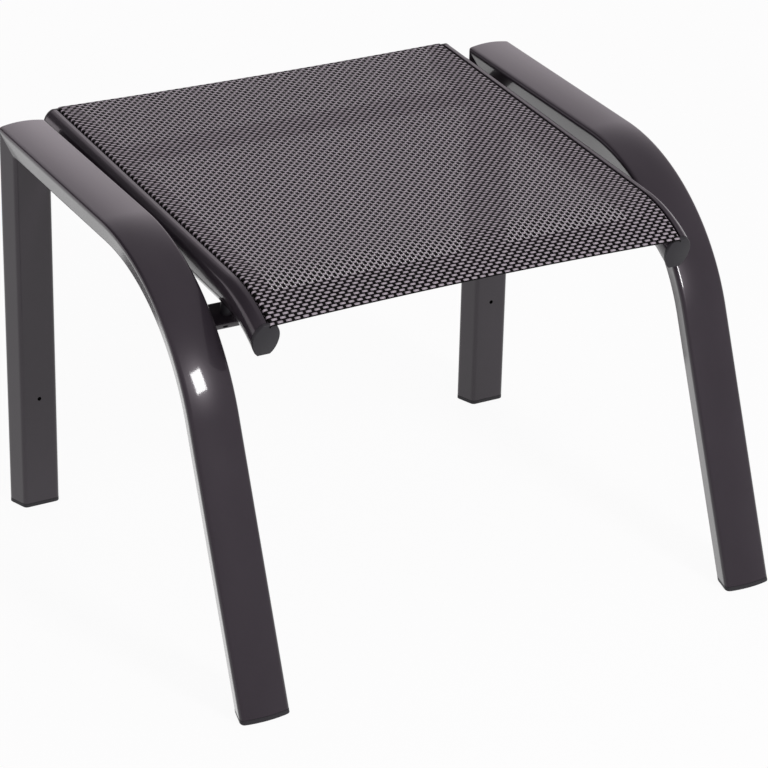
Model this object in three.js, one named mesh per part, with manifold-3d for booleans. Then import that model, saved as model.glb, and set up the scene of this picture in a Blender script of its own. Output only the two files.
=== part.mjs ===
// Outdoor footstool in millimetres, Z up, the front faces -Y.
// Two side frames of crowned aluminium tube carry two cross bars. Two seat rails stand on
// spacers over the bars and hold a woven sling by cords in their grooves.
import * as THREE from 'three';
import Module from 'manifold-3d';
import { mergeVertices } from 'three/addons/utils/BufferGeometryUtils.js';

const wasm = await Module();
wasm.setup();

// Whole stool
const overallWidth = 562; // between the outer corner lines of the side frames, before rounding
const clearance = 0.3; // air left between pieces that touch

// Side frame tube: a crowned outer face, sides that lean inward, a flat back face
const tubeWidth = 49.8; // between the corner lines of the outer face, before rounding
const tubeLean = 6.9; // how far each side leans in between outer edge and back face
const tubeDepth = 23.2; // from the outer edge to the back face
const tubeCrown = 2.2;
const tubeWall = 2;
const tubeShoulder = 5; // reach of the rounding at the outer edges
const tubeBackCorner = 3.5; // reach of the rounding at the back edges

// Side frame path, taken along the outer edge of the tube
const frameRearHeight = 387.4;
const frameReach = 485.3; // outer edge of rear leg to outer edge of front foot, on the floor
const frameSlopeAngle = 4;
const frontLegTiltAngle = 21.1;
const frameBendRadius = 200;
const frameBendSteps = 14;
const drainHoleHeight = 114;
const drainHoleRadius = 2;

// Foot caps
const footFlange = 4;
const footPlug = 16;

// Seat rails: an oval cut flat at top and bottom, with a slotted cord channel
const seatRailInset = 68.5; // from the outer edge of a side frame to the cord slot
const seatRailWidth = 26;
const seatRailHeight = 30.5;
const seatRailUpper = 15.6; // upper half axis of the oval
const seatRailLower = 19.2; // lower half axis of the oval
const seatRailFlatDrop = 13.5; // from the flat top to the widest place
const seatRailWall = 2;
const cordRadius = 2;
const clothThickness = 0.8;
const cordDepth = 6; // from the flat top to the middle of the cord
const channelRoof = 2.2; // metal between cord channel and hollow

// Seat rail path, taken along the flat top
const seatRearOverhang = 15.5; // behind the outer edge of the rear legs
const seatRise = 1.6; // of the rear end over the rear end of the side frames
const seatSlopeAngle = 5.5;
const seatBendAhead = 137; // how much longer the straight is than that of the side frames
const seatBendRadius = 135;
const seatBendAngle = 28.9;
const seatBendSteps = 10;
const railFaceTiltAngle = 16.4; // of the front end from upright, its top forward
const railCapPlate = 3;
const slingFrontOverhang = 1.5; // past the cap at the front end of the rail

// Cross bars: flat tubes between the side frames
const barWidth = 28.5;
const barThickness = 7;
const barWall = 1.6;
const barCorner = 2.4;
const rearBarInset = 33; // from the rear end of the seat rails to the middle of the bar
const frontBarAhead = 129; // from the start of the side frame's bend, along its outer edge
const frontBarDepth = 13.8; // from that edge to the middle of the top of the bar
const frontBarTiltAngle = 19;
const barSlotLength = 5.5; // drain slot in the front of the front bar
const barSlotHeight = 2.2;
const barSlotInset = 12; // from the side tube to the middle of the slot

// Spacers between the seat rails and the bars
const spacerRadius = 6;
const rearSpacerHeight = 9;

// Screws that hold the rails on the bars, driven from below
const screwRadius = 3;
const screwHeadRadius = 6;
const screwHeadHeight = 3.6;
const screwSocketRadius = 2.3;
const screwSocketDepth = 2;
const screwGrip = 8; // how far the shank stands into the seat rail

const curveSteps = 5;
const sideSteps = 12;
const roundSteps = 24;
const cordSides = 12;
const socketSides = 6;

const radians = THREE.MathUtils.degToRad;
const halfTube = tubeWidth / 2;
const tubeMiddle = overallWidth / 2 - halfTube;
const railMiddle = overallWidth / 2 - seatRailInset;

// Finishes
function finish(color, roughness, metalness) {
  return new THREE.MeshStandardMaterial({ color, roughness, metalness });
}

const coatedAluminium = finish(0x4a464b, 0.28, 0.15);
const mouldedPlastic = finish(0x3f3f43, 0.5, 0);
const wovenMesh = finish(0x6b666d, 0.75, 0);
const cordPlastic = finish(0x2a2a2c, 0.6, 0);
const zincSteel = finish(0x9a9a9c, 0.35, 0.9);

// A path in the side view: a straight, an arc that turns down, and a straight.
// Slope is the angle below level of a walk towards the front.
function makePath(y, z, slope, straight, radius, turn) {
  return { y, z, slope, straight, radius, turn };
}

function heading(slope) {
  return { y: -Math.cos(slope), z: -Math.sin(slope) };
}

function outward(slope) {
  return { y: -Math.sin(slope), z: Math.cos(slope) };
}

function bendEnd(path) {
  return path.straight + path.radius * path.turn;
}

// The place at a distance along the path; both ends run on as straights.
function placeAt(path, distance) {
  const run = heading(path.slope);
  if (distance <= path.straight) {
    return { y: path.y + run.y * distance, z: path.z + run.z * distance, slope: path.slope };
  }
  const bent = Math.min(distance, bendEnd(path)) - path.straight;
  const slope = path.slope + bent / path.radius;
  const rest = distance - path.straight - bent;
  const first = outward(path.slope);
  const now = outward(slope);
  const onward = heading(slope);
  return {
    y: path.y + run.y * path.straight + (now.y - first.y) * path.radius + onward.y * rest,
    z: path.z + run.z * path.straight + (now.z - first.z) * path.radius + onward.z * rest,
    slope,
  };
}

// One ring of a sweep. The lean tips the ring along the path, for mitred and level ends.
function station(place, lean) {
  const out = outward(place.slope);
  const run = heading(place.slope);
  return { y: place.y, z: place.z, outY: out.y + lean * run.y, outZ: out.z + lean * run.z };
}

// Rings from one distance to another with extra ones through the arc.
function stationsBetween(path, from, to, steps, leanFrom, leanTo) {
  const rings = [station(placeAt(path, from), leanFrom)];
  const length = bendEnd(path) - path.straight;
  for (let i = 0; i <= steps; i += 1) {
    const distance = path.straight + (length * i) / steps;
    if (distance > from + clearance && distance < to - clearance) {
      rings.push(station(placeAt(path, distance), 0));
    }
  }
  rings.push(station(placeAt(path, to), leanTo));
  return rings;
}

// Sweeps an outline through the rings: its x stays across, its y follows the ring.
function sweep(outline, rings) {
  const steps = rings.length - 1;
  const solid = new THREE.ExtrudeGeometry(outline, {
    depth: 1,
    steps,
    bevelEnabled: false,
    curveSegments: curveSteps,
  });
  const position = solid.attributes.position;
  for (let i = 0; i < position.count; i += 1) {
    const ring = rings[Math.round(position.getZ(i) * steps)];
    const out = position.getY(i);
    position.setXYZ(i, position.getX(i), ring.y + out * ring.outY, ring.z + out * ring.outZ);
  }
  return welded(solid);
}

// Shares the corners between triangles and drops triangles that closed up to a line.
function welded(geometry) {
  const plain = geometry.clone();
  plain.deleteAttribute('normal');
  plain.deleteAttribute('uv');
  const shared = mergeVertices(plain);
  const corners = shared.index.array;
  const kept = [];
  for (let i = 0; i < corners.length; i += 3) {
    const [a, b, c] = corners.slice(i, i + 3);
    if (a !== b && b !== c && c !== a) {
      kept.push(a, b, c);
    }
  }
  shared.setIndex(kept);
  return shared;
}

function toSolid(geometry) {
  const clean = welded(geometry);
  const vertProperties = new Float32Array(clean.attributes.position.array);
  const triVerts = new Uint32Array(clean.index.array);
  return new wasm.Manifold(new wasm.Mesh({ numProp: 3, vertProperties, triVerts }));
}

function fromSolid(solid) {
  const mesh = solid.getMesh();
  const geometry = new THREE.BufferGeometry();
  const position = new THREE.BufferAttribute(new Float32Array(mesh.vertProperties), 3);
  geometry.setAttribute('position', position);
  geometry.setIndex(new THREE.BufferAttribute(new Uint32Array(mesh.triVerts), 1));
  return geometry;
}

function cutAway(geometry, cutters) {
  let solid = toSolid(geometry);
  for (const cutter of cutters) {
    solid = solid.subtract(toSolid(cutter));
  }
  return fromSolid(solid);
}

// A drill along Y that is long enough to pass one wall wherever its middle lies on it.
function smallDrill(radius, wall) {
  return new THREE.CylinderGeometry(radius, radius, 4 * wall, roundSteps);
}

function joined(first, second) {
  return fromSolid(toSolid(first).add(toSolid(second)));
}

// Draws a closed outline whose corners are eased by a curve that starts at the given reach.
function easedOutline(Kind, corners) {
  const outline = new Kind();
  corners.forEach((corner, i) => {
    const before = corners[(i + corners.length - 1) % corners.length];
    const after = corners[(i + 1) % corners.length];
    const start = stepTowards(corner, before, corner.reach);
    const end = stepTowards(corner, after, corner.reach);
    if (i === 0) {
      outline.moveTo(start.x, start.y);
    } else {
      outline.lineTo(start.x, start.y);
    }
    outline.quadraticCurveTo(corner.x, corner.y, end.x, end.y);
  });
  outline.closePath();
  return outline;
}

function stepTowards(from, to, distance) {
  const length = Math.hypot(to.x - from.x, to.y - from.y);
  const share = distance / length;
  return { x: from.x + (to.x - from.x) * share, y: from.y + (to.y - from.y) * share };
}

// Outline of the frame tube. The inset draws the same form smaller, for the hollow and plugs.
function tubeOutline(Kind, inset) {
  const wide = halfTube - inset;
  const narrow = halfTube - tubeLean - inset;
  const top = -inset;
  const bottom = inset - tubeDepth;
  const crownControl = top + 2 * tubeCrown;
  const shoulder = Math.max(tubeShoulder - inset, clearance);
  const backCorner = Math.max(tubeBackCorner - inset, clearance);
  const crownSide = Math.hypot(wide, crownControl - top);
  return easedOutline(Kind, [
    { x: -narrow, y: bottom, reach: backCorner },
    { x: narrow, y: bottom, reach: backCorner },
    { x: wide, y: top, reach: shoulder },
    { x: 0, y: crownControl, reach: crownSide - shoulder - clearance },
    { x: -wide, y: top, reach: shoulder },
  ]);
}

function hollowTubeOutline() {
  const outline = tubeOutline(THREE.Shape, 0);
  outline.holes.push(tubeOutline(THREE.Path, tubeWall));
  return outline;
}

// Side frame: the rail runs from the mitred rear corner through the bend to the front foot.
const frameSlope = radians(frameSlopeAngle);
const legTilt = radians(frontLegTiltAngle);
const frameTurn = Math.PI / 2 - legTilt - frameSlope;
const cornerLean = Math.tan(Math.PI / 4 + frameSlope / 2);
const framePath = layOutFrame();

// The straight rail ends where the arc can meet the leg line that stands on the floor.
function layOutFrame() {
  const reachAtRail = frameRearHeight * Math.tan(legTilt);
  const meeting = (frameReach - reachAtRail) / (1 - Math.tan(frameSlope) * Math.tan(legTilt));
  const toCorner = meeting / Math.cos(frameSlope);
  const straight = toCorner - frameBendRadius * Math.tan(frameTurn / 2);
  return makePath(0, frameRearHeight, frameSlope, straight, frameBendRadius, frameTurn);
}

// Distance along the frame path at which the front leg comes down to a height.
function frameDistanceAt(height) {
  const end = placeAt(framePath, bendEnd(framePath));
  return bendEnd(framePath) + (end.z - height) / Math.cos(legTilt);
}

function sideTube() {
  const start = clearance / 2;
  const end = frameDistanceAt(footFlange + clearance);
  const rings = stationsBetween(
    framePath, start, end, frameBendSteps, -cornerLean, Math.tan(legTilt),
  );
  return sweep(hollowTubeOutline(), rings);
}

// The rear leg is the same tube stood upright with its crowned face to the rear.
const rearLegPath = makePath(0, 0, -Math.PI / 2, frameRearHeight, frameRearHeight, 0);

function rearLegStations(from, to, leanTo) {
  return [
    station(placeAt(rearLegPath, from), 0),
    station(placeAt(rearLegPath, to), leanTo),
  ];
}

function rearLeg() {
  const top = frameRearHeight - clearance / 2;
  const tube = sweep(hollowTubeOutline(), rearLegStations(footFlange + clearance, top, cornerLean));
  const drill = smallDrill(drainHoleRadius, tubeWall);
  drill.translate(0, -tubeDepth, drainHoleHeight);
  return cutAway(tube, [drill]);
}

// Foot caps: a flange the size of the tube and a plug inside it, both cut level.
function frontFootCap() {
  const lean = Math.tan(legTilt);
  const levelStation = (height) => station(placeAt(framePath, frameDistanceAt(height)), lean);
  const flange = sweep(tubeOutline(THREE.Shape, 0), [levelStation(footFlange), levelStation(0)]);
  const plug = sweep(
    tubeOutline(THREE.Shape, tubeWall + clearance),
    [levelStation(footFlange + footPlug), levelStation(footFlange / 2)],
  );
  return joined(flange, plug);
}

function rearFootCap() {
  const flange = sweep(tubeOutline(THREE.Shape, 0), rearLegStations(0, footFlange, 0));
  const plug = sweep(
    tubeOutline(THREE.Shape, tubeWall + clearance),
    rearLegStations(footFlange / 2, footFlange + footPlug, 0),
  );
  return joined(flange, plug);
}

// Seat rail path and section. The section has its flat top at zero.
const seatTurn = radians(seatBendAngle);
const seatPath = makePath(
  seatRearOverhang,
  frameRearHeight + seatRise,
  radians(seatSlopeAngle),
  framePath.straight + seatBendAhead,
  seatBendRadius,
  seatTurn,
);
const seatLength = bendEnd(seatPath);
const seatBendStep = (seatBendRadius * seatTurn) / seatBendSteps;
const seatFrontLean = -Math.tan(seatPath.slope + seatTurn - radians(railFaceTiltAngle));
const pocketRadius = cordRadius + clearance + clothThickness;
const channelRadius = pocketRadius + clearance;
const slotHalf = clothThickness + clearance;

// Left side, flat bottom and right side of the oval, between the ends of a flat at a height.
function ovalPoints(inset, flat) {
  const half = seatRailWidth / 2 - inset;
  const upper = seatRailUpper - inset;
  const lower = seatRailLower - inset;
  const rise = Math.asin((flat + seatRailFlatDrop) / upper);
  const fall = Math.asin((seatRailHeight - seatRailFlatDrop - inset) / lower);
  const left = [];
  for (let i = 0; i <= sideSteps; i += 1) {
    const angle = rise - ((rise + fall) * i) / sideSteps;
    const tall = angle > 0 ? upper : lower;
    left.push(new THREE.Vector2(
      -half * Math.cos(angle),
      tall * Math.sin(angle) - seatRailFlatDrop,
    ));
  }
  const right = left.map((point) => new THREE.Vector2(-point.x, point.y));
  return [...left, ...right.reverse()];
}

// Points on a circle from one angle to another, both ends included.
function arcPoints(x, y, radius, from, to, steps) {
  const points = [];
  for (let i = 0; i <= steps; i += 1) {
    const angle = from + ((to - from) * i) / steps;
    points.push(new THREE.Vector2(x + radius * Math.cos(angle), y + radius * Math.sin(angle)));
  }
  return points;
}

function circle(Kind, x, y, radius) {
  const lastAngle = 2 * Math.PI - (2 * Math.PI) / cordSides;
  return new Kind(arcPoints(x, y, radius, 0, lastAngle, cordSides - 1));
}

// The hollow of a seat rail lies under the cord channel; a larger inset draws the plug in it.
function railHollow(Kind, inset) {
  const flat = -cordDepth - channelRadius - channelRoof - (inset - seatRailWall);
  return new Kind(ovalPoints(inset, flat));
}

function railPlate() {
  return new THREE.Shape(ovalPoints(0, 0));
}

function railOutline() {
  const mouth = Math.acos(slotHalf / channelRadius);
  const outline = new THREE.Shape([
    new THREE.Vector2(-slotHalf, 0),
    ...ovalPoints(0, 0),
    new THREE.Vector2(slotHalf, 0),
    ...arcPoints(0, -cordDepth, channelRadius, mouth, -Math.PI - mouth, cordSides),
  ]);
  outline.holes.push(railHollow(THREE.Path, seatRailWall));
  return outline;
}

function seatRail() {
  const rings = stationsBetween(seatPath, 0, seatLength, seatBendSteps, 0, seatFrontLean);
  const rail = sweep(railOutline(), rings);
  return cutAway(rail, [screwDrill(rearBarPlace()), screwDrill(frontBarPlace())]);
}

// End caps of a seat rail: a plate over the section and a plug in the hollow.
function railCap(plateStations, plugStations) {
  const plate = sweep(railPlate(), plateStations);
  const plug = sweep(railHollow(THREE.Shape, seatRailWall + clearance), plugStations);
  return joined(plate, plug);
}

function rearRailCap() {
  const across = (distance) => station(placeAt(seatPath, distance), 0);
  const face = -clearance;
  return railCap(
    [across(face - railCapPlate), across(face)],
    [across(face - railCapPlate / 2), across(seatBendStep)],
  );
}

function frontRailCap() {
  const upright = (distance) => station(placeAt(seatPath, distance), seatFrontLean);
  const face = seatLength + clearance;
  return railCap(
    [upright(face), upright(face + railCapPlate)],
    [station(placeAt(seatPath, seatLength - seatBendStep), 0), upright(face + railCapPlate / 2)],
  );
}

// Cord in the pocket along one edge of the sling.
function slingCord() {
  const outline = circle(THREE.Shape, 0, -cordDepth, cordRadius);
  return sweep(outline, stationsBetween(seatPath, 0, seatLength, seatBendSteps, 0, 0));
}

// The sling: a sheet over the inner halves of the rails whose edges dip through the slots
// and close round the cords.
function slingOutline() {
  const top = clearance + clothThickness;
  const neck = Math.acos(clothThickness / pocketRadius);
  const pocketWall = (x) => (
    arcPoints(x, -cordDepth, pocketRadius, Math.PI - neck, 2 * Math.PI + neck, cordSides)
  );
  const outline = new THREE.Shape([
    new THREE.Vector2(railMiddle + clothThickness, top),
    new THREE.Vector2(-railMiddle - clothThickness, top),
    ...pocketWall(-railMiddle),
    new THREE.Vector2(clothThickness - railMiddle, clearance),
    new THREE.Vector2(railMiddle - clothThickness, clearance),
    ...pocketWall(railMiddle),
  ]);
  for (const side of [-1, 1]) {
    outline.holes.push(circle(THREE.Path, side * railMiddle, -cordDepth, cordRadius + clearance));
  }
  return outline;
}

// The free edges of the sling over the end caps, without pockets.
function slingEdgeOutline() {
  const half = railMiddle + clothThickness;
  return new THREE.Shape([
    new THREE.Vector2(-half, clearance),
    new THREE.Vector2(half, clearance),
    new THREE.Vector2(half, clearance + clothThickness),
    new THREE.Vector2(-half, clearance + clothThickness),
  ]);
}

function slingEdge(from, to) {
  return sweep(slingEdgeOutline(), stationsBetween(seatPath, from, to, seatBendSteps, 0, 0));
}

function sling() {
  const rings = stationsBetween(seatPath, 0, seatLength, seatBendSteps, 0, 0);
  const overCap = clearance + railCapPlate;
  const rearEdge = slingEdge(-overCap, seatBendStep);
  const frontEdge = slingEdge(seatLength - seatBendStep, seatLength + overCap + slingFrontOverhang);
  return joined(joined(sweep(slingOutline(), rings), rearEdge), frontEdge);
}

// A bar's place is the middle of its top. The rear bar lies square to the seat rails, a spacer
// below them, and the front bar lies against the bent part of the side frames.
function rearBarPlace() {
  const above = placeAt(seatPath, rearBarInset);
  return sunk(above, seatRailHeight + rearSpacerHeight + 2 * clearance, above.slope);
}

function frontBarPlace() {
  const beside = placeAt(framePath, framePath.straight + frontBarAhead);
  return sunk(beside, frontBarDepth, radians(frontBarTiltAngle));
}

// The place at a depth under a path, with a slope of its own.
function sunk(place, depth, slope) {
  const out = outward(place.slope);
  return { y: place.y - out.y * depth, z: place.z - out.z * depth, slope };
}

function atBar(place, along, down) {
  const run = heading(place.slope);
  const out = outward(place.slope);
  return {
    y: place.y + run.y * along - out.y * down,
    z: place.z + run.z * along - out.z * down,
  };
}

function barOutline(Kind, inset) {
  const half = barWidth / 2 - inset;
  const corner = Math.max(barCorner - inset, clearance);
  return easedOutline(Kind, [
    { x: -half, y: inset - barThickness, reach: corner },
    { x: half, y: inset - barThickness, reach: corner },
    { x: half, y: -inset, reach: corner },
    { x: -half, y: -inset, reach: corner },
  ]);
}

// Half length of a bar at a place on its end, so the end follows the leaning tube side.
function reachAgainstTube(depth) {
  const lean = (depth / tubeDepth) * tubeLean;
  return overallWidth / 2 - tubeWidth + lean - clearance;
}

function depthInRearLeg(point) {
  return -point.y;
}

function depthInFrameBend(point) {
  const start = placeAt(framePath, framePath.straight);
  const out = outward(framePath.slope);
  const centreY = start.y - out.y * frameBendRadius;
  const centreZ = start.z - out.z * frameBendRadius;
  return frameBendRadius - Math.hypot(point.y - centreY, point.z - centreZ);
}

function crossBar(place, depthIn, holes) {
  const outline = barOutline(THREE.Shape, 0);
  outline.holes.push(barOutline(THREE.Path, barWall));
  const bar = new THREE.ExtrudeGeometry(outline, {
    depth: 1,
    steps: 1,
    bevelEnabled: false,
    curveSegments: curveSteps,
  });
  const position = bar.attributes.position;
  for (let i = 0; i < position.count; i += 1) {
    const side = 2 * position.getZ(i) - 1;
    const point = atBar(place, -position.getX(i), -position.getY(i));
    position.setXYZ(i, side * reachAgainstTube(depthIn(point)), point.y, point.z);
  }
  return cutAway(bar, holes);
}

// Height from the top of a bar to the underside of the straight rail above it, square to the
// bar, at a distance along the bar's slope from its middle.
function heightUnderRail(place, along) {
  const railOut = outward(seatPath.slope);
  const out = outward(place.slope);
  const start = atBar(place, along, 0);
  const level = (start.y - seatPath.y) * railOut.y + (start.z - seatPath.z) * railOut.z;
  return (-seatRailHeight - level) / (out.y * railOut.y + out.z * railOut.z);
}

// A drill along the screw, from well under the bar to well inside the rail.
function screwDrill(place) {
  const above = heightUnderRail(place, 0) + 2 * seatRailWall;
  const below = 2 * barThickness;
  const radius = screwRadius + clearance;
  const drill = new THREE.CylinderGeometry(radius, radius, above + below, roundSteps);
  drill.rotateX(Math.PI / 2 + place.slope);
  const middle = atBar(place, 0, (below - above) / 2);
  drill.translate(0, middle.y, middle.z);
  return drill;
}

function screwDrillsInBar(place) {
  return [-1, 1].map((side) => screwDrill(place).translate(side * railMiddle, 0, 0));
}

function rearBar() {
  const place = rearBarPlace();
  return crossBar(place, depthInRearLeg, screwDrillsInBar(place));
}

// The front bar has a small drain slot at each end of its front.
function frontBar() {
  const place = frontBarPlace();
  const drills = screwDrillsInBar(place);
  for (const side of [-1, 1]) {
    const drill = smallDrill(barSlotHeight / 2, barWall);
    drill.scale(barSlotLength / barSlotHeight, 1, 1);
    drill.rotateX(place.slope);
    const middle = atBar(place, barWidth / 2, barThickness / 2);
    drill.translate(side * (overallWidth / 2 - tubeWidth - barSlotInset), middle.y, middle.z);
    drills.push(drill);
  }
  return crossBar(place, depthInFrameBend, drills);
}

// Spacer: a bush round the screw whose top is cut along the underside of the rail.
function spacer(place) {
  const bush = new THREE.CylinderGeometry(spacerRadius, spacerRadius, rearSpacerHeight, roundSteps);
  const position = bush.attributes.position;
  for (let i = 0; i < position.count; i += 1) {
    const along = position.getZ(i);
    const top = heightUnderRail(place, along) - clearance;
    const point = atBar(place, along, position.getY(i) > 0 ? -top : -clearance);
    position.setXYZ(i, position.getX(i), point.y, point.z);
  }
  return cutAway(bush, [screwDrill(place)]);
}

// Screw with its head under the bar and a six-sided socket in the head.
function screw(place) {
  const reach = heightUnderRail(place, 0) + seatRailWall + screwGrip;
  const shank = barThickness + clearance + reach;
  const ease = screwRadius / 3;
  const profile = [
    new THREE.Vector2(0, -screwHeadHeight),
    new THREE.Vector2(screwHeadRadius - ease, -screwHeadHeight),
    new THREE.Vector2(screwHeadRadius, ease - screwHeadHeight),
    new THREE.Vector2(screwHeadRadius, 0),
    new THREE.Vector2(screwRadius, 0),
    new THREE.Vector2(screwRadius, shank - ease),
    new THREE.Vector2(screwRadius - ease, shank),
    new THREE.Vector2(0, shank),
  ];
  const body = new THREE.LatheGeometry(profile, roundSteps);
  const socket = new THREE.CylinderGeometry(
    screwSocketRadius, screwSocketRadius, 2 * screwSocketDepth, socketSides,
  );
  socket.translate(0, -screwHeadHeight, 0);
  const turned = cutAway(body, [socket]);
  turned.rotateX(Math.PI / 2 + place.slope);
  const seat = atBar(place, 0, barThickness + clearance);
  turned.translate(0, seat.y, seat.z);
  return turned;
}

function addPiece(group, name, geometry, material, x) {
  const shown = geometry.toNonIndexed();
  shown.computeVertexNormals();
  const mesh = new THREE.Mesh(shown, material.clone());
  mesh.name = name;
  mesh.position.x = x;
  group.add(mesh);
}

function buildStool() {
  const stool = new THREE.Group();
  stool.name = 'footstool';
  for (const [side, word] of [[-1, 'left'], [1, 'right']]) {
    const tubeX = side * tubeMiddle;
    const railX = side * railMiddle;
    addPiece(stool, `side_tube_${word}`, sideTube(), coatedAluminium, tubeX);
    addPiece(stool, `rear_leg_${word}`, rearLeg(), coatedAluminium, tubeX);
    addPiece(stool, `foot_cap_front_${word}`, frontFootCap(), mouldedPlastic, tubeX);
    addPiece(stool, `foot_cap_rear_${word}`, rearFootCap(), mouldedPlastic, tubeX);
    addPiece(stool, `seat_rail_${word}`, seatRail(), coatedAluminium, railX);
    addPiece(stool, `rail_cap_rear_${word}`, rearRailCap(), mouldedPlastic, railX);
    addPiece(stool, `rail_cap_front_${word}`, frontRailCap(), mouldedPlastic, railX);
    addPiece(stool, `sling_cord_${word}`, slingCord(), cordPlastic, railX);
    for (const [end, place] of [['rear', rearBarPlace()], ['front', frontBarPlace()]]) {
      addPiece(stool, `rail_spacer_${end}_${word}`, spacer(place), mouldedPlastic, railX);
      addPiece(stool, `rail_screw_${end}_${word}`, screw(place), zincSteel, railX);
    }
  }
  addPiece(stool, 'cross_bar_rear', rearBar(), coatedAluminium, 0);
  addPiece(stool, 'cross_bar_front', frontBar(), coatedAluminium, 0);
  addPiece(stool, 'sling', sling(), wovenMesh, 0);
  return stool;
}

// The stool stands on the floor with its middle over the origin.
const stool = buildStool();
const middle = new THREE.Box3().setFromObject(stool).getCenter(new THREE.Vector3());
stool.position.y = -middle.y;

const part = new THREE.Group();
part.name = 'outdoor_footstool';
part.add(stool);

export default part;
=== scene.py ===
import math
import bpy
import numpy as np
from mathutils import Matrix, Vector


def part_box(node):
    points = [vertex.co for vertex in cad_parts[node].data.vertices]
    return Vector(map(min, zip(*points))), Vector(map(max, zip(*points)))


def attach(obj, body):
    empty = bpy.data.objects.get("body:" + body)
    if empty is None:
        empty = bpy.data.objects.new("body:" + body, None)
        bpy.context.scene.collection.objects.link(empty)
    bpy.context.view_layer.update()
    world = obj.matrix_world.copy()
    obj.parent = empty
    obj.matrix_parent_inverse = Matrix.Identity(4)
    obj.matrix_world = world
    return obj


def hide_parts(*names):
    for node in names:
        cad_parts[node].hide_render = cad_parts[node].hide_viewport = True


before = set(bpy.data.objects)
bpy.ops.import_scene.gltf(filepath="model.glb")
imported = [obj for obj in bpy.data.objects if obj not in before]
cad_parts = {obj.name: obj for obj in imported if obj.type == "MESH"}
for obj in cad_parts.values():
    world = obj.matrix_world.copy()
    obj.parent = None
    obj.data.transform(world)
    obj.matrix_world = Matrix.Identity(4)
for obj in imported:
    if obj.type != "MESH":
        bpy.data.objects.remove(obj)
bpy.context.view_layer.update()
mm = 0.001


# One sRGB hex colour as linear red, green, blue and alpha.
def colour(text):
    shares = [int(text[i:i + 2], 16) / 255 for i in (1, 3, 5)]
    linear = [s / 12.92 if s <= 0.04045 else ((s + 0.055) / 1.055) ** 2.4 for s in shares]
    return (*linear, 1.0)


# Adds one node; settings go on the node, and inputs are values or links for its sockets.
def addNode(tree, kind, settings=None, inputs=None):
    node = tree.nodes.new(kind)
    for key, value in (settings or {}).items():
        setattr(node, key, value)
    for key, value in (inputs or {}).items():
        if isinstance(value, bpy.types.NodeSocket):
            tree.links.new(value, node.inputs[key])
        else:
            node.inputs[key].default_value = value
    return node


# One step of arithmetic on sockets or numbers.
def calc(tree, operation, first, second=0.0, third=0.0):
    inputs = {0: first, 1: second, 2: third}
    return addNode(tree, "ShaderNodeMath", {"operation": operation}, inputs).outputs[0]


# Noise on the object's own coordinates; the grain size is in metres.
def grain(tree, size, detail=2.0):
    place = addNode(tree, "ShaderNodeTexCoord").outputs["Object"]
    inputs = {"Vector": place, "Scale": 1 / size, "Detail": detail}
    return addNode(tree, "ShaderNodeTexNoise", None, inputs).outputs["Fac"]


# A value that runs from low to high as the socket runs from 0 to 1.
def ranged(tree, socket, low, high):
    inputs = {"Value": socket, "To Min": low, "To Max": high}
    return addNode(tree, "ShaderNodeMapRange", None, inputs).outputs["Result"]


# A blend of two colours.
def mixColours(tree, share, first, second):
    settings = {"data_type": "RGBA"}
    return addNode(tree, "ShaderNodeMix", settings, {0: share, 6: first, 7: second}).outputs[2]


# A smooth step of the socket, from 0 at the span's first value to 1 at its second.
def smoothStep(tree, socket, span):
    settings = {"interpolation_type": "SMOOTHSTEP"}
    inputs = {"Value": socket, "From Min": span[0], "From Max": span[1]}
    return addNode(tree, "ShaderNodeMapRange", settings, inputs).outputs["Result"]


# Roughness that wanders with the socket between two shares of the look's own.
def unevenRoughness(tree, socket, look):
    low, high = look["roughShares"]
    return ranged(tree, socket, look["roughness"] * low, look["roughness"] * high)


# Normal bumped by the socket, whose 1 stands a height in metres above its 0.
def bumped(tree, socket, height):
    tall = calc(tree, "MULTIPLY", socket, height)
    return addNode(tree, "ShaderNodeBump", None, {"Distance": 1.0, "Height": tall}).outputs[0]


# A new material with an empty node tree.
def startMaterial(name):
    material = bpy.data.materials.new(name)
    material.use_nodes = True
    tree = material.node_tree
    tree.nodes.clear()
    return material, tree


# Joins the shader to the material's output.
def endMaterial(tree, shader):
    addNode(tree, "ShaderNodeOutputMaterial", None, {"Surface": shader})


sharpAngle = math.radians(40)


# A finished piece from points and faces, smooth but for edges past the sharp angle.
def addPiece(name, points, faces, material, stands):
    mesh = bpy.data.meshes.new(name)
    mesh.from_pydata(points.tolist(), [], [list(face) for face in faces])
    mesh.shade_smooth()
    mesh.set_sharp_from_angle(angle=sharpAngle)
    mesh.materials.append(material)
    piece = bpy.data.objects.new(name, mesh)
    bpy.context.collection.objects.link(piece)
    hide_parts(*stands)
    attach(piece, "root")
    return piece


# Six times the volume that the faces enclose, from the corners of a fan in each face.
def signedVolume(points, faces):
    total = 0.0
    for face in faces:
        fan = points[list(face)]
        total += float(np.cross(fan[1:-1], fan[2:]).sum(axis=0) @ fan[0])
    return total


# Faces of a tube of rings, each a closed loop of as many points, with a face over each end.
def tubeFaces(rings):
    count, around = rings.shape[:2]
    ring, place = np.meshgrid(np.arange(count - 1), np.arange(around), indexing="ij")
    after = (place + 1) % around
    corners = [ring * around + place, ring * around + after]
    corners += [(ring + 1) * around + after, (ring + 1) * around + place]
    walls = np.stack(corners, axis=-1).reshape(-1, 4).tolist()
    first = list(range(around))[::-1]
    last = list(range((count - 1) * around, count * around))
    return walls + [first, last]


# A closed piece from rings; the faces are turned over where they would point inward.
def addTube(name, rings, material, stands):
    points = rings.reshape(-1, 3)
    faces = tubeFaces(rings)
    if signedVolume(points, faces) < 0:
        faces = [face[::-1] for face in faces]
    addPiece(name, points, faces, material, stands)


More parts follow.
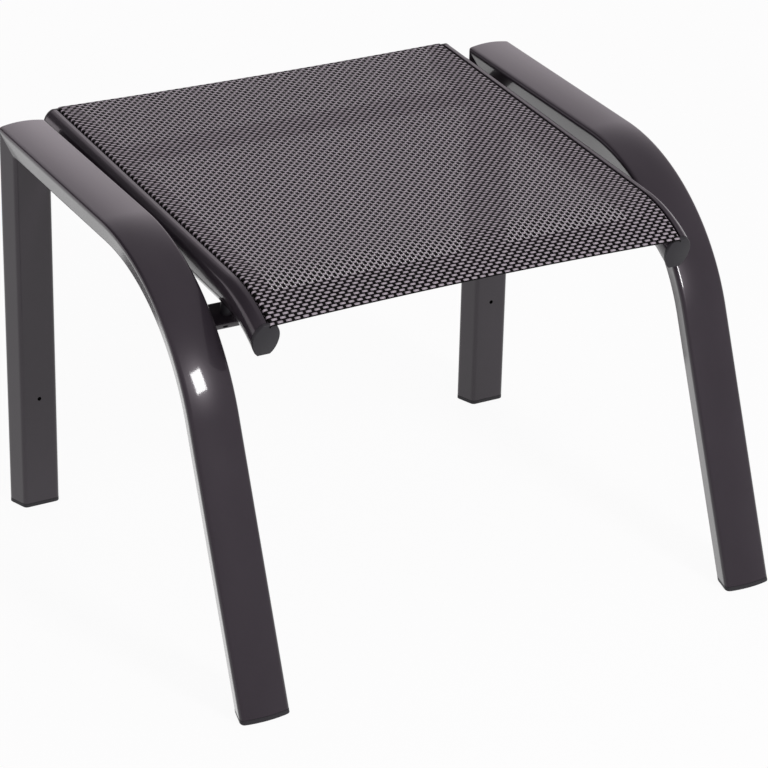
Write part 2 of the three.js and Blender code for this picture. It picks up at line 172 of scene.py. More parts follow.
# Quadratic easing of each corner of an outline: (1-t)^2 start + 2t(1-t) corner + t^2 end.
def easedOutline(corners):
    spots = np.array([corner[:2] for corner in corners])
    found = []
    for i, (x, y, reach, steps) in enumerate(corners):
        here = spots[i]
        before = spots[i - 1] - here
        after = spots[(i + 1) % len(corners)] - here
        start = here + before / np.linalg.norm(before) * reach
        end = here + after / np.linalg.norm(after) * reach
        t = np.linspace(0, 1, steps)[:, None]
        found.append((1 - t) ** 2 * start + 2 * t * (1 - t) * here + t ** 2 * end)
    return np.concatenate(found)


supportGap = 0.5 * mm


# Adds a point close to each end of every long flat, so that the flats shade flat.
def withSupports(outline):
    found = []
    for i, here in enumerate(outline):
        step = outline[(i + 1) % len(outline)] - here
        length = np.linalg.norm(step)
        found.append(here)
        if length > 5 * supportGap:
            found.append(here + step * supportGap / length)
            found.append(here + step * (1 - supportGap / length))
    return np.array(found)


# Distance along a path at which its arc ends.
def arcEnd(path):
    return path["straight"] + path["radius"] * path["turn"]


# Place and slope on a path of a straight, an arc that turns down and a straight.
def pathAt(path, distance):
    distance = np.asarray(distance, dtype=float)
    arc = path["radius"] * path["turn"]
    first = np.minimum(distance, path["straight"])
    bent = np.clip(distance - path["straight"], 0, arc)
    rest = np.maximum(distance - path["straight"] - arc, 0)
    start = path["slope"]
    slope = start + bent / path["radius"]
    y = -first * math.cos(start) + path["radius"] * (math.sin(start) - np.sin(slope))
    z = -first * math.sin(start) + path["radius"] * (np.cos(slope) - math.cos(start))
    y = path["y"] + y - rest * np.cos(slope)
    z = path["z"] + z - rest * np.sin(slope)
    return y, z, slope


# Rings of an outline (across, out) along a path; lean tips a ring along the path.
def sweepRings(outline, path, distances, leans, x):
    y, z, slope = pathAt(path, distances)
    leans = np.broadcast_to(np.asarray(leans, dtype=float), y.shape)
    outY = -np.sin(slope) - leans * np.cos(slope)
    outZ = np.cos(slope) - leans * np.sin(slope)
    rings = np.empty((len(y), len(outline), 3))
    rings[:, :, 0] = x + outline[:, 0]
    rings[:, :, 1] = y[:, None] + outY[:, None] * outline[:, 1]
    rings[:, :, 2] = z[:, None] + outZ[:, None] * outline[:, 1]
    return rings


# Glossy powder coat on extruded aluminium: near black, with clear reflections of the room in
# its smooth skin, a soft glow round them from the pigment below, and a slight orange peel.
# A drain hole goes through the front wall of each rear leg.
powderCoat = {
    "colour": "#2a252b",
    "paler": "#312c32",
    "sheen": "#fff5fd",
    "roughness": 0.3,
    "roughShares": (0.85, 1.2),
    "gloss": 1.32,
    "skinRoughness": 0.07,
    "skinGloss": 1.37,
    "peelSize": 2.6 * mm,
    "peelHeight": 0.0022 * mm,
    "peelDetail": 1.0,
    "cloudSize": 60 * mm,
    "cloudDetail": 3.0,
    "holeRadius": 2 * mm,
    "holeReach": 3 * mm,
}


# Two tones of pigment under a clear skin; the drain hole is cut where a place is given.
def makePowderCoat(look, holeAt):
    material, tree = startMaterial("powder_coated_aluminium")
    peel = grain(tree, look["peelSize"], look["peelDetail"])
    cloud = grain(tree, look["cloudSize"], look["cloudDetail"])
    base = mixColours(tree, cloud, colour(look["colour"]), colour(look["paler"]))
    normal = bumped(tree, peel, look["peelHeight"])
    rough = unevenRoughness(tree, cloud, look)
    shader = addNode(tree, "ShaderNodeBsdfPrincipled", None, {
        "Base Color": base, "Roughness": rough, "Normal": normal, "IOR": look["gloss"],
        "Specular Tint": colour(look["sheen"]), "Coat Weight": 1.0,
        "Coat Roughness": look["skinRoughness"], "Coat IOR": look["skinGloss"], "Coat Normal": normal,
    }).outputs[0]
    if holeAt is not None:
        shader = pierced(tree, shader, holeAt, look)
    endMaterial(tree, shader)
    return material


# The shader with a round hole along Y, mirrored left and right: open where the distance from
# the axis is under the radius and Y is within the hole's reach of the wall.
def pierced(tree, shader, holeAt, look):
    place = addNode(tree, "ShaderNodeTexCoord").outputs["Object"]
    split = addNode(tree, "ShaderNodeSeparateXYZ", None, {0: place})
    across = calc(tree, "SUBTRACT", calc(tree, "ABSOLUTE", split.outputs[0]), holeAt[0])
    up = calc(tree, "SUBTRACT", split.outputs[2], holeAt[2])
    squares = calc(tree, "MULTIPLY_ADD", across, across, calc(tree, "MULTIPLY", up, up))
    near = calc(tree, "COMPARE", split.outputs[1], holeAt[1], look["holeReach"])
    inside = calc(tree, "LESS_THAN", squares, look["holeRadius"] ** 2)
    through = calc(tree, "MULTIPLY", near, inside)
    hole = addNode(tree, "ShaderNodeBsdfTransparent").outputs[0]
    return addNode(tree, "ShaderNodeMixShader", None, {0: through, 1: shader, 2: hole}).outputs[0]


# Injection-moulded polypropylene: dull, with the fine grain of its tool.
mouldedPlastic = {
    "colour": "#272629",
    "paler": "#302f33",
    "roughness": 0.5,
    "gloss": 0.3,
    "grainSize": 0.5 * mm,
    "grainHeight": 0.02 * mm,
}


# Two tones and a bump from one fine grain.
def makeMouldedPlastic(look):
    material, tree = startMaterial("moulded_polypropylene")
    fine = grain(tree, look["grainSize"])
    base = mixColours(tree, fine, colour(look["colour"]), colour(look["paler"]))
    normal = bumped(tree, fine, look["grainHeight"])
    shader = addNode(tree, "ShaderNodeBsdfPrincipled", None, {
        "Base Color": base, "Roughness": look["roughness"], "Normal": normal,
        "Specular IOR Level": look["gloss"],
    })
    endMaterial(tree, shader.outputs[0])
    return material


# Zinc-plated steel: bright metal with cloudy patches from the bath.
zincSteel = {
    "colour": "#b9babd",
    "duller": "#97989c",
    "roughness": 0.32,
    "roughShares": (0.8, 1.3),
    "cloudSize": 4 * mm,
    "cloudDetail": 4.0,
}


# Tone and roughness both follow one cloud.
def makeZincSteel(look):
    material, tree = startMaterial("zinc_plated_steel")
    cloud = grain(tree, look["cloudSize"], look["cloudDetail"])
    base = mixColours(tree, cloud, colour(look["duller"]), colour(look["colour"]))
    rough = unevenRoughness(tree, cloud, look)
    shader = addNode(tree, "ShaderNodeBsdfPrincipled", None, {
        "Base Color": base, "Roughness": rough, "Metallic": 1.0,
    })
    endMaterial(tree, shader.outputs[0])
    return material


# Extruded plastic cord: dull, with a fine grain.
cordPlastic = {
    "colour": "#1d1c1e",
    "paler": "#29282a",
    "roughness": 0.55,
    "roughShares": (0.85, 1.15),
    "grainSize": 1.5 * mm,
}


# Two tones and an uneven roughness from one fine grain.
def makeCordPlastic(look):
    material, tree = startMaterial("extruded_plastic")
    fine = grain(tree, look["grainSize"])
    base = mixColours(tree, fine, colour(look["colour"]), colour(look["paler"]))
    rough = unevenRoughness(tree, fine, look)
    shader = addNode(tree, "ShaderNodeBsdfPrincipled", None, {"Base Color": base, "Roughness": rough})
    endMaterial(tree, shader.outputs[0])
    return material


# Plain-woven mesh of PVC-coated polyester yarn: black warp front to rear, grey weft across,
# and a small hole between every four crossings. The hem is folded double, so it has none.
wovenMesh = {
    "warp": "#080707",
    "weft": "#b9b1b8",
    "warpPitch": 4.26 * mm,
    "weftPitch": 3.7 * mm,
    "warpShare": 0.705,
    "weftShare": 0.62,
    "lift": 0.28 * mm,
    "swell": 0.3 * mm,
    # Share of the yarn colour left at the bottom of each dip: painted shade.
    "paintedDipShade": 0.15,
    "toneSize": 7 * mm,
    "toneShares": (0.85, 1.12),
    "relief": 0.8,
    "roughness": 0.5,
    "gloss": 0.08,
}

# The cloth's own coordinates start here in place of 0, so that the weave's counts are positive.
clothOrigin = 1.0


# Yarns by their place in the cloth; past the hem lines there are no holes.
def makeWovenMesh(look, frontHemAt, sideHemAt):
    material, tree = startMaterial("coated_polyester_mesh")
    place = addNode(tree, "ShaderNodeAttribute", {"attribute_name": "clothPlace"}).outputs["Vector"]
    split = addNode(tree, "ShaderNodeSeparateXYZ", None, {0: place})
    across = calc(tree, "DIVIDE", split.outputs[0], look["warpPitch"])
    along = calc(tree, "DIVIDE", split.outputs[1], look["weftPitch"])
    column = calc(tree, "FLOOR", across)
    row = calc(tree, "FLOOR", along)
    sideways = calc(tree, "SUBTRACT", calc(tree, "FRACT", across), 0.5)
    onward = calc(tree, "SUBTRACT", calc(tree, "FRACT", along), 0.5)
    parity = calc(tree, "FLOORED_MODULO", calc(tree, "ADD", column, row), 2.0)
    sign = calc(tree, "SUBTRACT", calc(tree, "MULTIPLY", parity, 2.0), 1.0)

    # Height of one yarn: sign * lift * cos(pi * length) + swell * sqrt(1 - (width / half)^2).
    def yarn(sign, length, width, share):
        wave = calc(tree, "COSINE", calc(tree, "MULTIPLY", length, math.pi))
        rise = calc(tree, "MULTIPLY", calc(tree, "MULTIPLY", wave, sign), look["lift"])
        ratio = calc(tree, "DIVIDE", width, share / 2)
        inside = calc(tree, "SUBTRACT", 1.0, calc(tree, "MULTIPLY", ratio, ratio))
        body = calc(tree, "SQRT", calc(tree, "MAXIMUM", inside, 0.0))
        present = calc(tree, "GREATER_THAN", inside, 0.0)
        height = calc(tree, "MULTIPLY_ADD", body, look["swell"], rise)
        absent = calc(tree, "MULTIPLY", calc(tree, "SUBTRACT", 1.0, present), -1.0)
        return calc(tree, "ADD", height, absent), present

    warpHeight, warpHere = yarn(sign, onward, sideways, look["warpShare"])
    weftHeight, weftHere = yarn(calc(tree, "MULTIPLY", sign, -1.0), sideways, onward, look["weftShare"])
    floor = -look["lift"] - look["swell"]
    top = calc(tree, "MAXIMUM", calc(tree, "MAXIMUM", warpHeight, weftHeight), floor)
    weftOnTop = calc(tree, "GREATER_THAN", weftHeight, warpHeight)
    anyYarn = calc(tree, "MAXIMUM", warpHere, weftHere)
    frontHem = calc(tree, "GREATER_THAN", split.outputs[1], frontHemAt)
    fromMiddle = calc(tree, "ABSOLUTE", calc(tree, "SUBTRACT", split.outputs[0], clothOrigin))
    sideHem = calc(tree, "GREATER_THAN", fromMiddle, sideHemAt)
    inHem = calc(tree, "MAXIMUM", frontHem, sideHem)
    solid = calc(tree, "MAXIMUM", anyYarn, inHem)

    # Painted shade: the yarn colour is darkened where the yarn dives under its neighbour, down to the
    # darkest share at the bottom of a dip. Each yarn also has its own tone.
    shade = addNode(tree, "ShaderNodeMapRange", None, {
        "Value": top, "From Min": -look["lift"], "From Max": look["lift"] + look["swell"],
        "To Min": look["paintedDipShade"], "To Max": 1.0,
    }).outputs["Result"]
    tone = ranged(tree, grain(tree, look["toneSize"]), *look["toneShares"])
    yarnColour = mixColours(tree, weftOnTop, colour(look["warp"]), colour(look["weft"]))
    # Where there is no yarn, as in the holes of the double hem, the black warp colour at the darkest
    # share stands in for the lower layer in its shade: painted shade.
    inYarn = mixColours(tree, anyYarn, colour(look["warp"]), yarnColour)
    scale = calc(tree, "MULTIPLY", shade, tone)
    base = addNode(tree, "ShaderNodeVectorMath", {"operation": "SCALE"}, {0: inYarn, "Scale": scale})
    normal = addNode(tree, "ShaderNodeBump", None, {
        "Strength": look["relief"], "Distance": 1.0, "Height": top,
    }).outputs[0]
    cloth = addNode(tree, "ShaderNodeBsdfPrincipled", None, {
        "Base Color": base.outputs[0], "Roughness": look["roughness"], "Normal": normal,
        "Specular IOR Level": look["gloss"],
    })
    hole = addNode(tree, "ShaderNodeBsdfTransparent")
    shader = addNode(tree, "ShaderNodeMixShader", None, {
        0: solid, 1: hole.outputs[0], 2: cloth.outputs[0],
    })
    endMaterial(tree, shader.outputs[0])
    return material


coat = makePowderCoat(powderCoat, None)
plastic = makeMouldedPlastic(mouldedPlastic)
zinc = makeZincSteel(zincSteel)
cordFinish = makeCordPlastic(cordPlastic)
print("materials made")

sides = ((-1, "left"), (1, "right"))


# Aluminium tube with a crowned outer face, bent into the front leg; the upright rear leg is
# mitred and welded to it, and the weld is ground round.
sideFrame = {
    "width": 49.8 * mm,
    "lean": 6.9 * mm,
    "depth": 23.2 * mm,
    "crown": 2.2 * mm,
    "shoulder": 5 * mm,
    "backCorner": 3.5 * mm,
    "overallWidth": 562 * mm,
    "rearHeight": 387.4 * mm,
    "reach": 485.3 * mm,
    "slope": math.radians(4),
    "legTilt": math.radians(21.1),
    "bendRadius": 200 * mm,
    "cornerRadius": 1.4 * mm,
    "drainHeight": 114 * mm,
    "insideRadius": 1.2 * mm,
    "footFlange": 4 * mm,
    "footEase": 0.8 * mm,
    "footRimShares": ((0.0, 2.0), (0.4, 0.6), (1.0, 0.0)),
    "gap": 0.3 * mm,
    "backSteps": 8,
    "shoulderSteps": 12,
    "crownSteps": 28,
    "cornerCount": 15,
    "bendCount": 49,
}


# Section of the tube, across and out from the corner lines.
def tubeSection(look):
    wide = look["width"] / 2
    narrow = wide - look["lean"]
    control = 2 * look["crown"]
    crownReach = math.hypot(wide, control) - look["shoulder"] - look["gap"]
    outline = easedOutline([
        (-narrow, -look["depth"], look["backCorner"], look["backSteps"]),
        (narrow, -look["depth"], look["backCorner"], look["backSteps"]),
        (wide, 0.0, look["shoulder"], look["shoulderSteps"]),
        (0.0, control, crownReach, look["crownSteps"]),
        (-wide, 0.0, look["shoulder"], look["shoulderSteps"]),
    ])
    return withSupports(outline)


# The rail is straight until its arc can meet the leg line that stands on the floor.
def framePath(look, y):
    slope, tilt = look["slope"], look["legTilt"]
    turn = math.pi / 2 - tilt - slope
    meeting = look["reach"] - look["rearHeight"] * math.tan(tilt)
    toCorner = meeting / (1 - math.tan(slope) * math.tan(tilt)) / math.cos(slope)
    straight = toCorner - look["bendRadius"] * math.tan(turn / 2)
    return {
        "y": y, "z": look["rearHeight"], "slope": slope,
        "straight": straight, "radius": look["bendRadius"], "turn": turn,
    }


# Distance along the path at which the front leg comes down to a height.
def distanceAt(path, look, height):
    end = arcEnd(path)
    z = pathAt(path, end)[1]
    return end + (float(z) - height) / math.cos(look["legTilt"])


# Rings round the rear corner: fillet of radius max(corner - depth, inside) at each depth,
# with its middle where the two outer lines set in by depth + radius meet.
def cornerRings(outline, look, path, x):
    out = outline[:, 1]
    radius = np.maximum(look["cornerRadius"] + out, look["insideRadius"])
    inset = radius - out
    lean = math.tan(math.pi / 4 + look["slope"] / 2)
    angle = np.linspace(0, math.pi / 2 + look["slope"], look["cornerCount"])[:, None]
    rings = np.empty((look["cornerCount"], len(outline), 3))
    rings[:, :, 0] = x + outline[:, 0]
    rings[:, :, 1] = path["y"] - inset + radius * np.cos(angle)
    rings[:, :, 2] = path["z"] - inset * lean + radius * np.sin(angle)
    return rings


# One tube from the rear foot round the corner and the bend to the front foot.
def addSideFrame(look, outline, path, side, word, finish):
    x = side * (look["overallWidth"] - look["width"]) / 2
    base = np.empty((1, len(outline), 3))
    base[0, :, 0] = x + outline[:, 0]
    base[0, :, 1] = path["y"] + outline[:, 1]
    base[0, :, 2] = look["footFlange"] + look["gap"]
    bend = np.linspace(path["straight"], arcEnd(path), look["bendCount"])
    foot = distanceAt(path, look, look["footFlange"] + look["gap"])
    down = sweepRings(outline, path, bend, 0.0, x)
    end = sweepRings(outline, path, [foot], math.tan(look["legTilt"]), x)
    rings = np.concatenate([base, cornerRings(outline, look, path, x), down, end])
    nodes = [f"side_tube_{word}", f"rear_leg_{word}"]
    addTube(f"side_frame_{word}", rings, finish, nodes)


# Foot caps: a level flange as wide as the tube with an eased lower rim. Each step of the rim
# is a height and how much narrower the outline is there, both as shares of the ease.
def addFootCaps(look, outline, path, side, word):
    x = side * (look["overallWidth"] - look["width"]) / 2
    ease = look["footEase"]
    middle = np.array([0.0, -look["depth"] / 2])
    steps = [(ease * up, ease * narrower) for up, narrower in look["footRimShares"]]
    front, rear = [], []
    for height, narrower in [*steps, (look["footFlange"], 0.0)]:
        shape = middle + (outline - middle) * (1 - narrower / look["depth"])
        distance = distanceAt(path, look, height)
        front.append(sweepRings(shape, path, [distance], math.tan(look["legTilt"]), x)[0])
        ring = np.empty((len(shape), 3))
        ring[:, 0] = x + shape[:, 0]
        ring[:, 1] = path["y"] + shape[:, 1]
        ring[:, 2] = height
        rear.append(ring)
    for rings, place in ((front, "front"), (rear, "rear")):
        name = f"foot_cap_{place}_{word}"
        addTube(f"{name}_moulding", np.array(rings), plastic, [name])


tube = tubeSection(sideFrame)
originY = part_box("rear_leg_left")[1][1] - tube[:, 1].max()
railPath = framePath(sideFrame, originY)
holeX = (sideFrame["overallWidth"] - sideFrame["width"]) / 2
holePlace = (holeX, originY - sideFrame["depth"], sideFrame["drainHeight"])
frameCoat = makePowderCoat(powderCoat, holePlace)
for side, word in sides:
    addSideFrame(sideFrame, tube, railPath, side, word, frameCoat)
    addFootCaps(sideFrame, tube, railPath, side, word)
print("side frames made")


# Oval aluminium extrusion, flat at top and bottom, with a cord channel that opens in a slot.
seatRail = {
    "spacing": 425 * mm,
    "width": 26 * mm,
    "height": 30.5 * mm,
    "upper": 14.3 * mm,
    "lower": 19.2 * mm,
    "flatDrop": 13.5 * mm,
    "slotHalf": 1.4 * mm,
    "slotInset": 0.9 * mm,
    "lip": 0.75 * mm,
    "channelDepth": 6 * mm,
    "channelRadius": 3.4 * mm,
    "overhang": 15.5 * mm,
    "rearHeight": 389 * mm,
    "slope": math.radians(5.5),
    "bendAhead": 137 * mm,
    "bendRadius": 135 * mm,
    "turn": math.radians(28.9),
    "faceTilt": math.radians(16.4),
    "capPlate": 3 * mm,
    "capEase": 0.9 * mm,
    "capRimShares": ((1.0, 0.0), (0.3, 0.3), (0.0, 1.0)),
    "gap": 0.3 * mm,
    "lastStep": 8 * mm,
    "ovalSteps": 29,
    "channelSteps": 21,
    "lipSteps": 5,
    "bendCount": 33,
}


# Left side, flat bottom and right side of the oval from one end of the flat top to the other.
def ovalPoints(look, inset):
    upper, lower = look["upper"] - inset, look["lower"] - inset
    rise = math.asin((look["flatDrop"] - inset) / upper)
    fall = math.asin((look["height"] - look["flatDrop"] - inset) / lower)
    angle = np.linspace(rise, -fall, look["ovalSteps"])
    tall = np.where(angle > 0, upper, lower)
    x = (look["width"] / 2 - inset) * np.cos(angle)
    left = np.stack([-x, tall * np.sin(angle) - look["flatDrop"]], axis=1)
    return np.concatenate([left, left[::-1] * [-1, 1]])


# Section of the rail, across (outward from the seat) and up, with its slot, set in towards
# the seat, and the round cord channel that the slot's two walls run down into.
def railSection(look):
    oval = ovalPoints(look, 0.0)
    outerWall = look["slotHalf"] - look["slotInset"]
    innerWall = -look["slotHalf"] - look["slotInset"]
    first = math.acos(outerWall / look["channelRadius"])
    last = math.acos(innerWall / look["channelRadius"]) - 2 * math.pi
    angle = np.linspace(first, last, look["channelSteps"])
    channel = look["channelRadius"] * np.stack([np.cos(angle), np.sin(angle)], axis=1)
    channel[:, 1] -= look["channelDepth"]
    t = np.linspace(0, math.pi / 2, look["lipSteps"])
    away = look["lip"] * (1 - np.sin(t))
    drop = look["lip"] * (np.cos(t) - 1)
    outer = np.stack([outerWall + away, drop], axis=1)
    inner = np.stack([innerWall - away, drop], axis=1)[::-1]
    return withSupports(np.concatenate([inner, oval, outer, channel]))


# The seat rail's straight part is longer than that of the side frame beside it.
def seatPathFor(look, beside):
    return {
        "y": beside["y"] + look["overhang"], "z": look["rearHeight"], "slope": look["slope"],
        "straight": beside["straight"] + look["bendAhead"],
        "radius": look["bendRadius"], "turn": look["turn"],
    }


# Lean of the rings at the front end, which tips its face from upright by the face tilt.
def frontLean(look, path):
    return -math.tan(path["slope"] + path["turn"] - look["faceTilt"])


# One rail; the section is mirrored for the left side, and the last ring leans with the face.
def addSeatRail(look, path, side, word):
    x = side * look["spacing"] / 2
    end = arcEnd(path)
    bend = np.linspace(path["straight"], end, look["bendCount"])
    distances = np.concatenate([[0.0], bend])
    leans = np.zeros(len(distances))
    leans[-1] = frontLean(look, path)
    distances[-2] = end - look["lastStep"]
    rings = sweepRings(railSection(look) * [side, 1], path, distances, leans, x)
    addTube(f"seat_rail_{word}_extrusion", rings, coat, [f"seat_rail_{word}"])


# End caps: a plate over the section whose outer rim is eased. Each step of the rim is a
# distance below the plate's face and an inset, both as shares of the ease.
def addRailCaps(look, path, side, word):
    x = side * look["spacing"] / 2
    ease = look["capEase"]
    end = arcEnd(path)
    lean = frontLean(look, path)
    face = look["gap"] + look["capPlate"]
    steps = [(face - ease * below, ease * inset) for below, inset in look["capRimShares"]]
    front, rear = [], []
    for step, inset in [(look["gap"], 0.0), *steps]:
        shape = withSupports(ovalPoints(look, inset))
        front.append(sweepRings(shape, path, [end + step], lean, x)[0])
        ring = sweepRings(shape, path, [0.0], 0.0, x)[0]
        ring[:, 1] += step * math.cos(path["slope"])
        ring[:, 2] += step * math.sin(path["slope"])
        rear.append(ring)
    for rings, place in ((front, "front"), (rear, "rear")):
        name = f"rail_cap_{place}_{word}"
        addTube(f"{name}_moulding", np.array(rings), plastic, [name])


seatPath = seatPathFor(seatRail, railPath)
for side, word in sides:
    addSeatRail(seatRail, seatPath, side, word)
    addRailCaps(seatRail, seatPath, side, word)
print("seat rails made")


# One sheet of mesh, stretched between the rails; its sides dip into the slots.
sling = {
    "thickness": 0.5 * mm,
    "hemThickness": 1.3 * mm,
    "hemDepth": 33 * mm,
    "hemRamp": 2 * mm,
    "sideHem": 21 * mm,
    "rimLength": 1.5 * mm,
    "rimShare": 0.3,
    "clear": 0.25 * mm,
    "slotDrop": 4.5 * mm,
    "edgeDropShare": 1.3,
    "turnRadius": 1.6 * mm,
    "sag": 2.0 * mm,
    "rearOverhang": 3.3 * mm,
    "overhang": 1.5 * mm,
    "bow": 5 * mm,
    "bowPower": 4,
    "flare": 0.5 * mm,
    "slotSteps": 3,
    "turnSteps": 6,
    "spanSteps": 32,
    "flatCount": 30,
    "bendCount": 30,
    "edgeCount": 9,
}


# Half of the cloth's line across, from the slot to the middle: up out of the slot, round its
# lip and through a shallow curve over the rail to the centre. As the share runs to 1 the edge
# rises, until its drop is a share of the turn's radius, and moves outward by the flare.
def clothLine(look, rail, share):
    slot = rail["spacing"] / 2 - rail["slotInset"] - rail["slotHalf"] + look["flare"] * share
    r = look["turnRadius"]
    t = np.linspace(0, math.pi / 2, look["turnSteps"])
    depth = look["slotDrop"] * (1 - share) + look["edgeDropShare"] * r * share
    drop = np.linspace(-depth, -r, look["slotSteps"])[:-1]
    inSlot = np.stack([np.full(len(drop), slot), drop], axis=1)
    turn = np.stack([slot - r + r * np.cos(t), r * (np.sin(t) - 1)], axis=1)
    edge = slot - r
    across = np.linspace(edge, 0, look["spanSteps"])[1:]
    span = np.stack([across, -look["sag"] * (1 - (across / edge) ** 2)], axis=1)
    line = np.concatenate([inSlot, turn, span])
    lengths = np.concatenate([[0], np.cumsum(np.hypot(*np.diff(line, axis=0).T))])
    return line, lengths


# Distance along the rails' path at which the cloth ends, past the front caps.
def clothEndFor(look, rail, path):
    return arcEnd(path) + rail["gap"] + rail["capPlate"] + look["overhang"]


# Lines across at each distance along the rails, an upper and a lower one with the cloth's
# thickness between them; the front edge bows back by bow * share^power in the middle.
def addSling(look, rail, path, material):
    end = arcEnd(path)
    clothEnd = clothEndFor(look, rail, path)
    flatPart = np.linspace(-look["rearOverhang"], path["straight"], look["flatCount"])
    bentPart = np.linspace(path["straight"], end, look["bendCount"])[1:]
    edgePart = np.linspace(end, clothEnd, look["edgeCount"])[1:]
    distances = np.concatenate([flatPart, bentPart, edgePart])
    upper, lower, places = [], [], []
    for distance in distances:
        flared = np.clip((distance - path["straight"]) / (end - path["straight"]), 0, 1)
        half, lengths = clothLine(look, rail, flared)
        line = np.concatenate([half * [-1, 1], half[-2::-1]])
        measure = np.concatenate([lengths - lengths[-1], (lengths[-1] - lengths)[-2::-1]])
        share = np.clip(distance / clothEnd, 0, 1) ** look["bowPower"]
        outward = np.clip(np.abs(line[:, 0]) / (rail["spacing"] / 2), 0, 1)
        away = look["bow"] * share * (1 - outward ** 2)
        y, z, slope = pathAt(path, distance - away)
        hem = np.clip((distance - clothEnd + look["hemDepth"]) / look["hemRamp"], 0, 1)
        rim = np.clip((clothEnd - distance) / look["rimLength"], look["rimShare"], 1)
        thick = (look["thickness"] + (look["hemThickness"] - look["thickness"]) * hem) * rim
        slopes = np.gradient(line, axis=0)
        slopes /= np.linalg.norm(slopes, axis=1)[:, None]
        normal = np.stack([-slopes[:, 1], slopes[:, 0]], axis=1)
        top = look["clear"] + look["thickness"]
        for store, shift in ((upper, top), (lower, top - thick)):
            spot = line + normal * shift
            store.append(np.stack([
                spot[:, 0],
                y - np.sin(slope) * spot[:, 1],
                z + np.cos(slope) * spot[:, 1],
            ], axis=1))
        places.append(np.stack([measure, np.full(len(line), distance), np.zeros(len(line))], axis=1))
    rings = np.concatenate([np.array(upper), np.array(lower)[:, ::-1]], axis=1)
    marks = np.concatenate([np.array(places), np.array(places)[:, ::-1]], axis=1)
    points = rings.reshape(-1, 3)
    count, around = rings.shape[:2]
    half = around // 2

    # In place of one face over each end, a strip of faces from the upper to the lower line.
    faces = tubeFaces(rings)[:-2]
    for ring in (0, count - 1):
        start = ring * around
        for i in range(half - 1):
            face = [start + i, start + i + 1, start + around - 2 - i, start + around - 1 - i]
            faces.append(face[::-1] if ring == 0 else face)
    if signedVolume(points, faces) < 0:
        faces = [face[::-1] for face in faces]
    piece = addPiece("sling_cloth", points, faces, material, ["sling"])
    marked = piece.data.attributes.new("clothPlace", "FLOAT_VECTOR", "POINT")
    shifted = marks.reshape(-1, 3) + [clothOrigin, clothOrigin, 0]
    marked.data.foreach_set("vector", shifted.astype(np.float32).ravel())


frontHemAt = clothOrigin + clothEndFor(sling, seatRail, seatPath) - sling["hemDepth"]
sideHemAt = float(clothLine(sling, seatRail, 0.0)[1][-1]) - sling["sideHem"]
addSling(sling, seatRail, seatPath, makeWovenMesh(wovenMesh, frontHemAt, sideHemAt))
print("sling made")


# Nodes that are shown as the solids have them get their finish only.
kept = {"cross_bar": coat, "rail_spacer": plastic, "rail_screw": zinc, "sling_cord": cordFinish}
for node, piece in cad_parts.items():
    for start, material in kept.items():
        if node.startswith(start):
            for slot in piece.material_slots:
                slot.material = material
print("kept nodes finished")


# White paper floor and backdrop that fill the view; the camera's side of the room is darker.
# The spans say where in the room, by direction, each change of tone begins and ends.
studio = {
    "floorHalf": 12.0,
    "floor": "#f6f5f6",
    "floorGlow": 0.94,
    "behind": "#fff5fc",
    "around": "#a49ea3",
    "dark": "#4a484a",
    "rightShare": 0.5,
    "skyLight": 1.35,
    "ahead": (-0.3, 0.45),
    "low": (0.85, 0.3),
    "leftward": (-0.12, -0.3),
    "above": (0.16, 0.3),
    "rightward": (0.32, 0.66),
}


# Camera and mirror rays see the floor partly as plain white paper lit to white, which keeps
# the shadow faint; all other light sees it as it is.
def addFloor(look):
    half = look["floorHalf"]
    mesh = bpy.data.meshes.new("floor")
    corners = [(-half, -half, 0), (half, -half, 0), (half, half, 0), (-half, half, 0)]
    mesh.from_pydata(corners, [], [(0, 1, 2, 3)])
    material, tree = startMaterial("floor_paper")
    paper = addNode(tree, "ShaderNodeBsdfDiffuse", None, {"Color": colour(look["floor"])})
    glow = addNode(tree, "ShaderNodeEmission", None, {"Color": colour("#ffffff"), "Strength": 1.0})
    rays = addNode(tree, "ShaderNodeLightPath")
    seen = calc(tree, "MAXIMUM", rays.outputs["Is Camera Ray"], rays.outputs["Is Glossy Ray"])
    seen = calc(tree, "MAXIMUM", seen, rays.outputs["Is Transmission Ray"])
    share = calc(tree, "MULTIPLY", seen, look["floorGlow"])
    shader = addNode(tree, "ShaderNodeMixShader", None, {
        0: share, 1: paper.outputs[0], 2: glow.outputs[0],
    })
    endMaterial(tree, shader.outputs[0])
    mesh.materials.append(material)
    floor = bpy.data.objects.new("floor", mesh)
    bpy.context.collection.objects.link(floor)


# The room as a light: white low down behind the stool, grey before and above it, dark at the
# back left above the white, and dimmer at the back right.
def addWorld(look):
    world = bpy.data.worlds.new("studio")
    bpy.context.scene.world = world
    world.use_nodes = True
    tree = world.node_tree
    tree.nodes.clear()
    toward = addNode(tree, "ShaderNodeTexCoord").outputs["Generated"]
    split = addNode(tree, "ShaderNodeSeparateXYZ", None, {0: toward})
    east, north, height = split.outputs[:3]
    ahead = smoothStep(tree, north, look["ahead"])
    share = calc(tree, "MULTIPLY", ahead, smoothStep(tree, height, look["low"]))
    leftward = smoothStep(tree, east, look["leftward"])
    above = smoothStep(tree, height, look["above"])
    left = calc(tree, "MULTIPLY", calc(tree, "MULTIPLY", leftward, above), ahead)
    rightward = smoothStep(tree, east, look["rightward"])
    right = calc(tree, "MULTIPLY", calc(tree, "MULTIPLY", rightward, look["rightShare"]), ahead)
    room = mixColours(tree, share, colour(look["around"]), colour(look["behind"]))
    room = mixColours(tree, left, room, colour(look["dark"]))
    room = mixColours(tree, right, room, colour(look["dark"]))
    rays = addNode(tree, "ShaderNodeLightPath")
    seen = calc(tree, "MAXIMUM", rays.outputs["Is Camera Ray"], rays.outputs["Is Transmission Ray"])
    shown = mixColours(tree, seen, room, colour("#ffffff"))
    strength = ranged(tree, seen, look["skyLight"], 1.0)
    back = addNode(tree, "ShaderNodeBackground", None, {"Color": shown, "Strength": strength})
    addNode(tree, "ShaderNodeOutputWorld", None, {"Surface": back.outputs[0]})


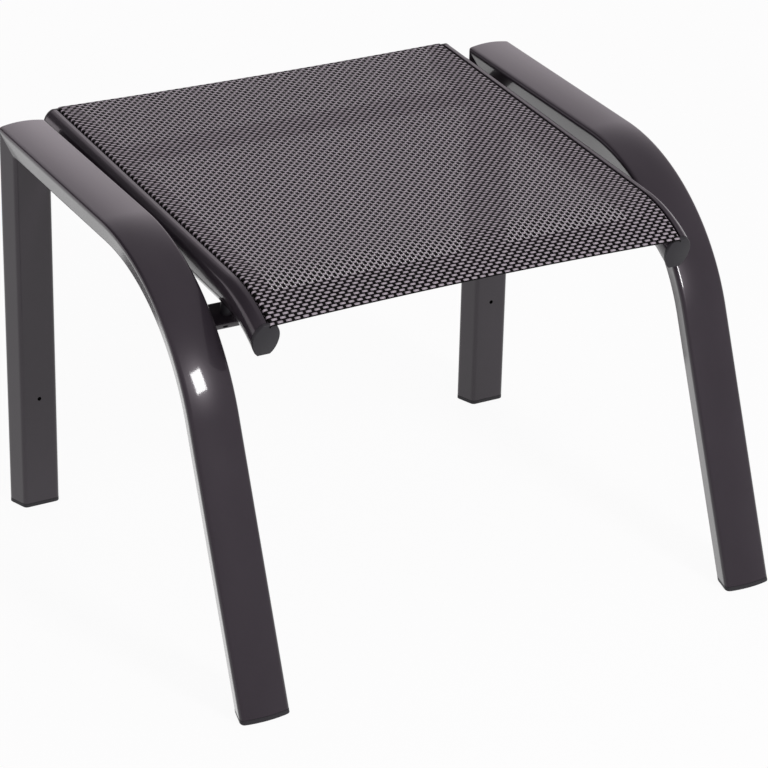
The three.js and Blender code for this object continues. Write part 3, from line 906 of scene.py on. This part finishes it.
# Soft boxes, in metres and watts; mirrored ones show in glossy surfaces.
softboxes = {
    "key_softbox": {
        "place": (0.43, -2.19, 1.74),
        "aim": (-0.26, -0.15, 0.28),
        "width": 0.48,
        "height": 0.5,
        "watts": 28,
        "mirrored": True,
    },
    "rear_softbox": {
        "place": (1.6, 2.9, 1.0),
        "aim": (0, 0, 0.3),
        "width": 3.6,
        "height": 1.5,
        "watts": 10,
        "mirrored": False,
    },
}


# One lamp at its place, turned so that it faces its aim with its sides level.
def addLamp(name, look):
    lamp = bpy.data.lights.new(name, "AREA")
    lamp.shape = "RECTANGLE"
    lamp.size = look["width"]
    lamp.size_y = look["height"]
    lamp.energy = look["watts"]
    holder = bpy.data.objects.new(name, lamp)
    holder.visible_glossy = look["mirrored"]
    bpy.context.collection.objects.link(holder)
    toward = np.array(look["aim"], dtype=float) - np.array(look["place"], dtype=float)
    toward /= np.linalg.norm(toward)
    side = np.cross(toward, [0, 0, 1])
    side /= np.linalg.norm(side)
    upward = np.cross(side, toward)
    holder.matrix_world = matrixFrom(np.array([side, upward, -toward]).T, look["place"])


# A matrix from three axes, as the columns, and a place.
def matrixFrom(columns, place):
    rows = [[*columns[i], place[i]] for i in range(3)]
    return Matrix([*rows, [0, 0, 0, 1]])


# The photograph's camera: place from the outer edge of the rear legs on the floor, heading
# from +Y towards +X, dip, roll and lens.
photoCamera = {
    "fromRear": (-1.36114, -2.52496, 1.38745),
    "yaw": math.radians(30.78),
    "pitch": math.radians(24.71),
    "roll": math.radians(1.33),
    "lens": 146.18,
    "sensorWidth": 36,
    "farthest": 100,
}


# Heading and dip give the view's direction; right and up then turn about it by the roll.
def addCamera(look):
    yaw, pitch, roll = look["yaw"], look["pitch"], look["roll"]
    right = np.array([math.cos(yaw), -math.sin(yaw), 0.0])
    level = np.array([math.sin(yaw), math.cos(yaw), 0.0])
    up = np.array([0.0, 0.0, 1.0])
    forward = level * math.cos(pitch) - up * math.sin(pitch)
    lifted = level * math.sin(pitch) + up * math.cos(pitch)
    rolledRight = right * math.cos(roll) + lifted * math.sin(roll)
    rolledUp = lifted * math.cos(roll) - right * math.sin(roll)
    lens = bpy.data.cameras.new("camera")
    lens.lens = look["lens"]
    lens.sensor_width = look["sensorWidth"]
    lens.clip_end = look["farthest"]
    camera = bpy.data.objects.new("camera", lens)
    bpy.context.collection.objects.link(camera)
    place = np.array(look["fromRear"]) + [0, originY, 0]
    camera.matrix_world = matrixFrom(np.array([rolledRight, rolledUp, -forward]).T, place)
    bpy.context.scene.camera = camera


addFloor(studio)
addWorld(studio)
for name, box in softboxes.items():
    addLamp(name, box)
addCamera(photoCamera)
bpy.context.scene.view_settings.view_transform = "Standard"
print("studio made")
